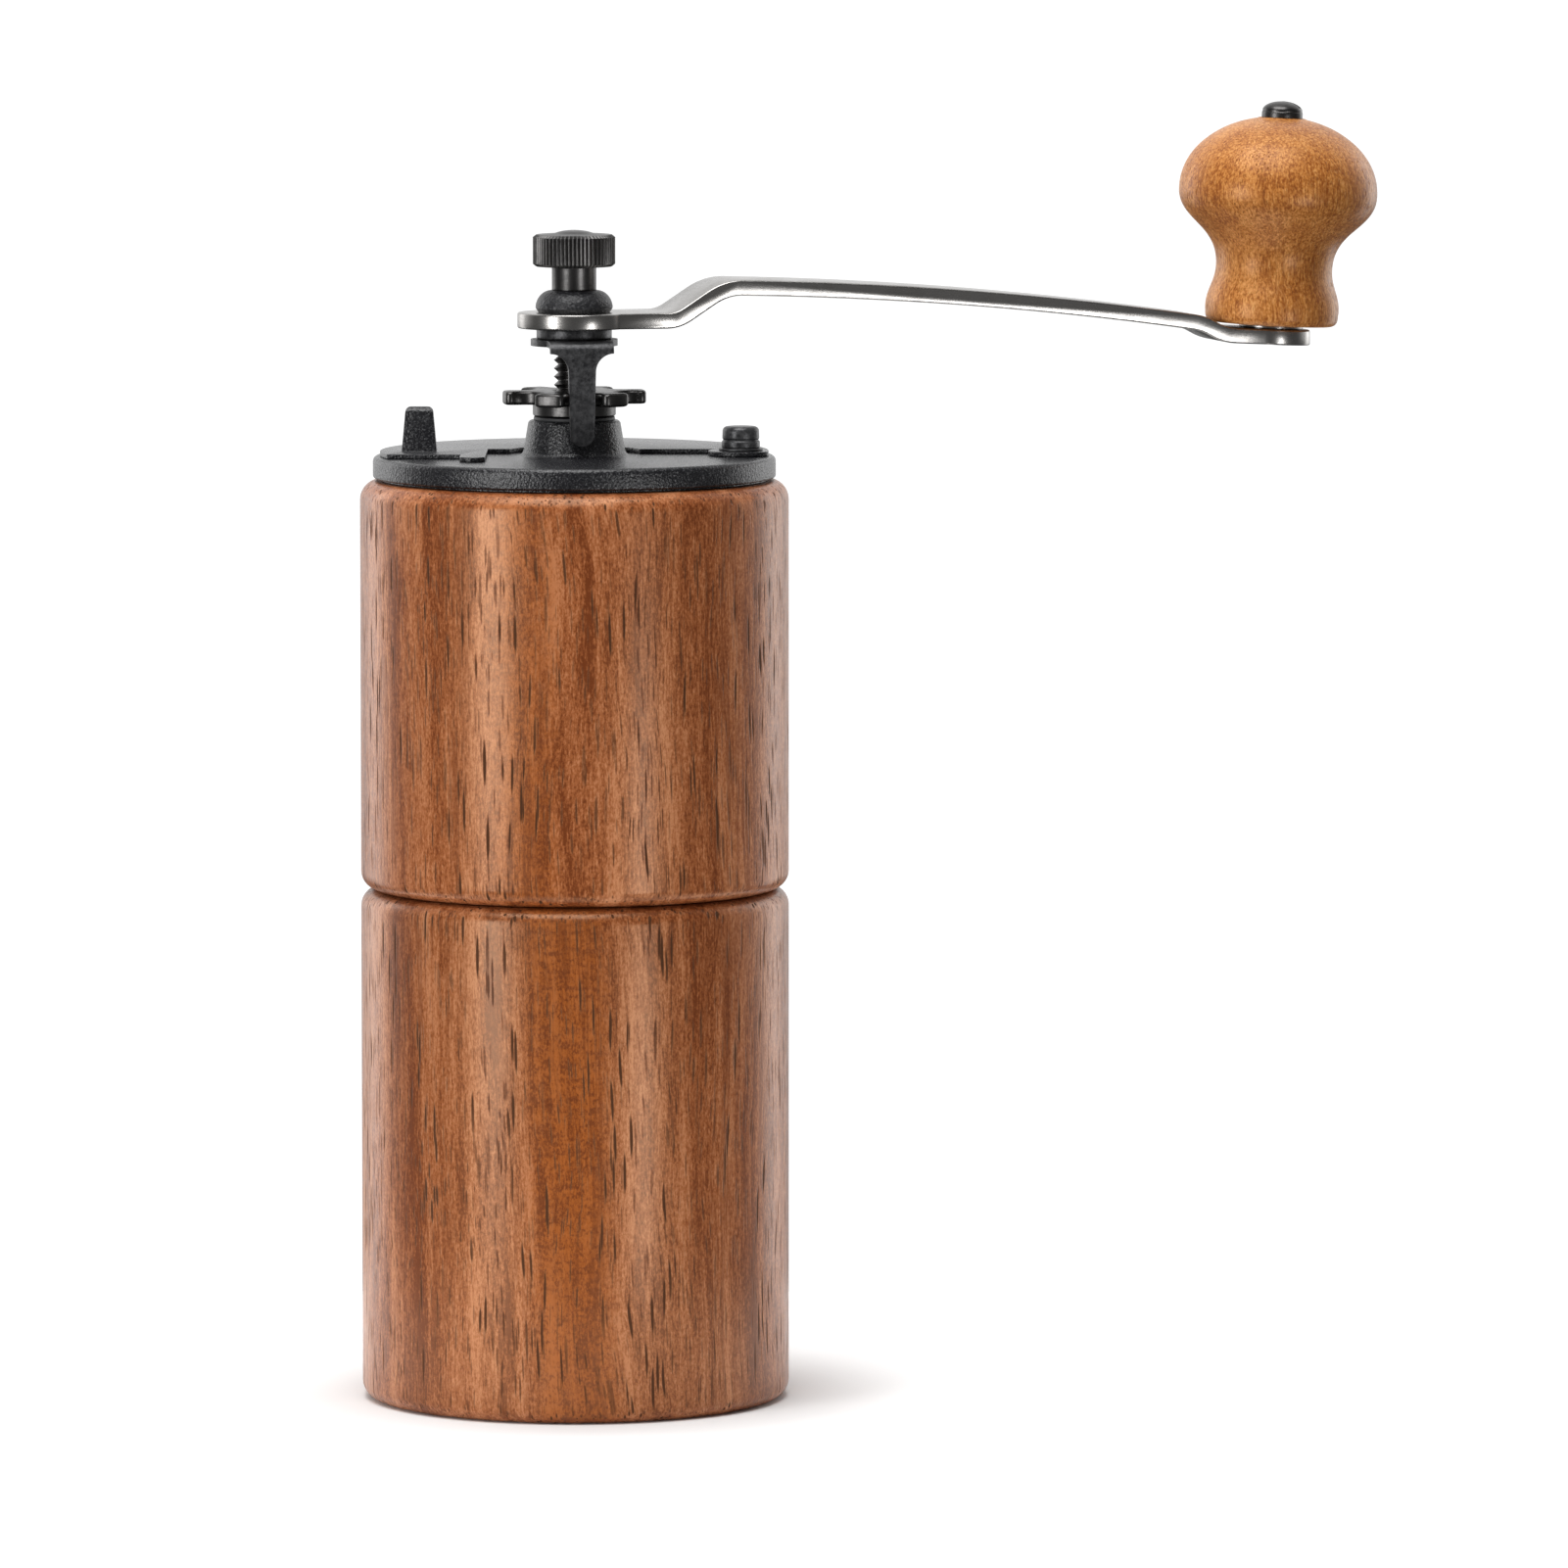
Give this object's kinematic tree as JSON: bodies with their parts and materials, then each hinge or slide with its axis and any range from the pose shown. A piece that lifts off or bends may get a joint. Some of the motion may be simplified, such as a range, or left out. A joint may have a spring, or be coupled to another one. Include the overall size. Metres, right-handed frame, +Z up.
{
  "type": "burr coffee grinder",
  "caption": "Hand-cranked burr coffee mill: two turned wooden barrels, cast lid with swinging bean door, lobed adjusting wheel, flat steel crank and turned wooden knob.",
  "frame": {"origin": "centre of the catch cup's base, on the axis of the barrels", "axes": "+Z up along the barrels' axis; -Y is the front, where the lock clip's prong stands; the crank points to 15 degrees from +X towards +Y at rest"},
  "size_m": [0.1578, 0.0778, 0.1991],
  "materials": {
    "barrel_wood": "lacquered, semi-gloss",
    "knob_wood": "lacquered, satin",
    "cast_black": "grained black coating",
    "black_steel": "blackened, satin",
    "plated_steel": "polished nickel plate",
    "dark_plate": "dark plated",
    "bright_steel": "machined",
    "bush_nylon": "moulded, black",
    "carrier_plastic": "moulded",
    "burr_ceramic": "fired, matt",
    "ring_rubber": "matt"
  },
  "bodies": {
    "cup": {"catch_cup": "barrel_wood"},
    "mill": {"hopper_body": "barrel_wood", "lid_plate": "cast_black", "top_bush": "bush_nylon", "door_rivet": "black_steel", "door_washer": "black_steel", "burr_carrier": "carrier_plastic", "carrier_screws": "bright_steel", "lower_bush": "bush_nylon", "outer_burr": "burr_ceramic", "burr_circlip": "bright_steel", "spigot_ring": "ring_rubber", "burr_spring": "bright_steel"},
    "door": {"bean_door": "cast_black"},
    "thrust": {"thrust_washer": "bright_steel"},
    "drive": {"spindle": "dark_plate", "inner_burr": "burr_ceramic", "burr_washer": "bright_steel", "burr_nut": "bright_steel", "lock_clip": "black_steel", "crank_washer": "black_steel", "crank_arm": "plated_steel", "dome_washer": "cast_black", "thumb_nut": "dark_plate", "knob_washer": "plated_steel", "knob_screw": "dark_plate"},
    "wheel": {"adjusting_wheel": "dark_plate"},
    "grip": {"knob": "knob_wood"}
  },
  "joints": [
    {"name": "mill_lift", "type": "slide", "parent": "cup", "child": "mill", "axis": [0, 0, 1], "range_m": [0, 0.035]},
    {"name": "door_swing", "type": "hinge", "parent": "mill", "child": "door", "pos_m": [0.0256, 0, 0.146], "axis": [0, 0, -1], "range_deg": [0, 70]},
    {"name": "grind_adjust", "type": "slide", "parent": "mill", "child": "thrust", "axis": [0, 0, 1], "range_m": [0, 0.0012], "deforming": ["burr_spring"]},
    {"name": "crank_spin", "type": "hinge", "parent": "thrust", "child": "drive", "pos_m": [0, 0, 0.15], "axis": [0, 0, 1], "continuous": true},
    {"name": "wheel_spin", "type": "hinge", "parent": "mill", "child": "wheel", "pos_m": [0, 0, 0.1535], "axis": [0, 0, 1], "continuous": true},
    {"name": "knob_spin", "type": "hinge", "parent": "drive", "child": "grip", "pos_m": [0.10818, 0.02899, 0.16257], "axis": [0.0506, 0.0135, 0.9986], "continuous": true}
  ],
  "couplings": [
    {"joint": "wheel_spin", "follows": "crank_spin", "ratio": 1}
  ]
}
